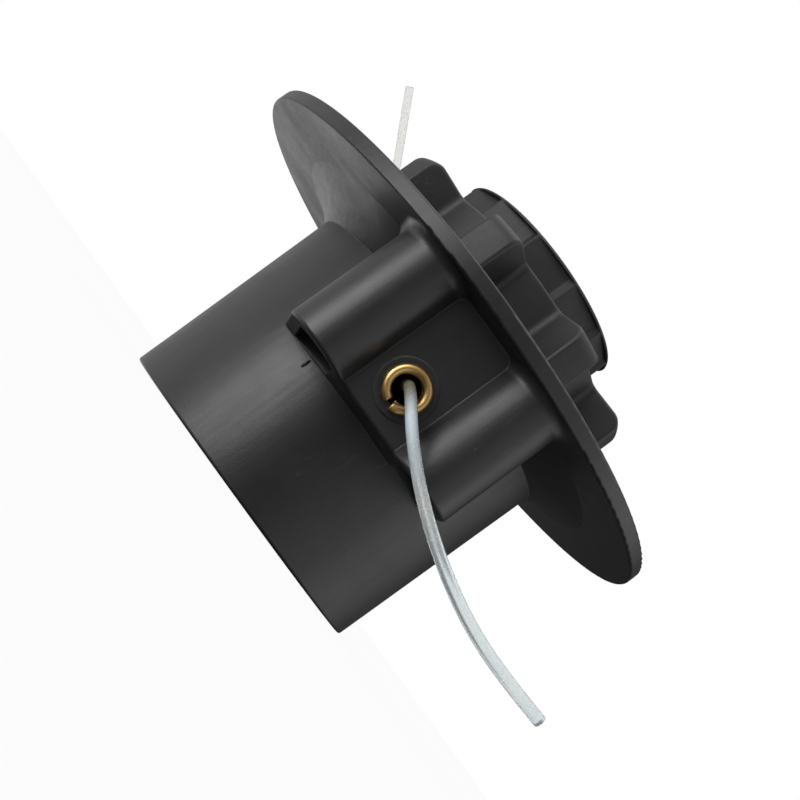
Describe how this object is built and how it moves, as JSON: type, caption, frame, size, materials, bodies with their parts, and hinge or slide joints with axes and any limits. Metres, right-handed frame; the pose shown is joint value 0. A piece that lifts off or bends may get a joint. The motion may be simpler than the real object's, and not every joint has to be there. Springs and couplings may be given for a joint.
{
  "type": "bump feed trimmer head",
  "caption": "Round line trimmer head with a wide flange, a tall skirt, moulded line outlets with brass eyelets, a lobed cap and a spring-loaded bump button that feeds the line.",
  "frame": {"origin": "centre of the skirt's open rim, on the plane that the rim stands on", "axes": "+Z along the spindle towards the bump button, -Y towards the front line outlet"},
  "size_m": [0.09, 0.107, 0.0705],
  "materials": {
    "housing_plastic": "satin moulded black",
    "cap_plastic": "satin moulded black",
    "spool_plastic": "moulded dark grey",
    "nylon_line": "translucent extruded nylon",
    "eyelet_brass": "polished",
    "insert_steel": "turned, zinc plated",
    "spring_steel": "drawn bright"
  },
  "bodies": {
    "housing": {"housing": "housing_plastic", "drive_insert": "insert_steel", "eyelet_front": "eyelet_brass", "eyelet_rear": "eyelet_brass", "compression_spring": "spring_steel", "line_end_front": "nylon_line", "line_end_rear": "nylon_line"},
    "thrust_washer": {"thrust_washer": "spring_steel"},
    "spool": {"spool": "spool_plastic", "line_winding_lower": "nylon_line", "line_winding_upper": "nylon_line", "bump_button": "cap_plastic"},
    "cap": {"cap": "cap_plastic"}
  },
  "joints": [
    {"name": "bump_travel", "type": "slide", "parent": "housing", "child": "thrust_washer", "axis": [0, 0, -1], "range_m": [0, 0.0045], "stiffness_N_per_m": 900, "springref_m": -0.012, "deforming": ["compression_spring"]},
    {"name": "spool_turn", "type": "hinge", "parent": "thrust_washer", "child": "spool", "pos_m": [0, 0, 0.03], "axis": [0, 0, 1], "continuous": true},
    {"name": "cap_turn", "type": "hinge", "parent": "housing", "child": "cap", "pos_m": [0, 0, 0.045], "axis": [0, 0, 1], "range_deg": [0, 30]}
  ]
}
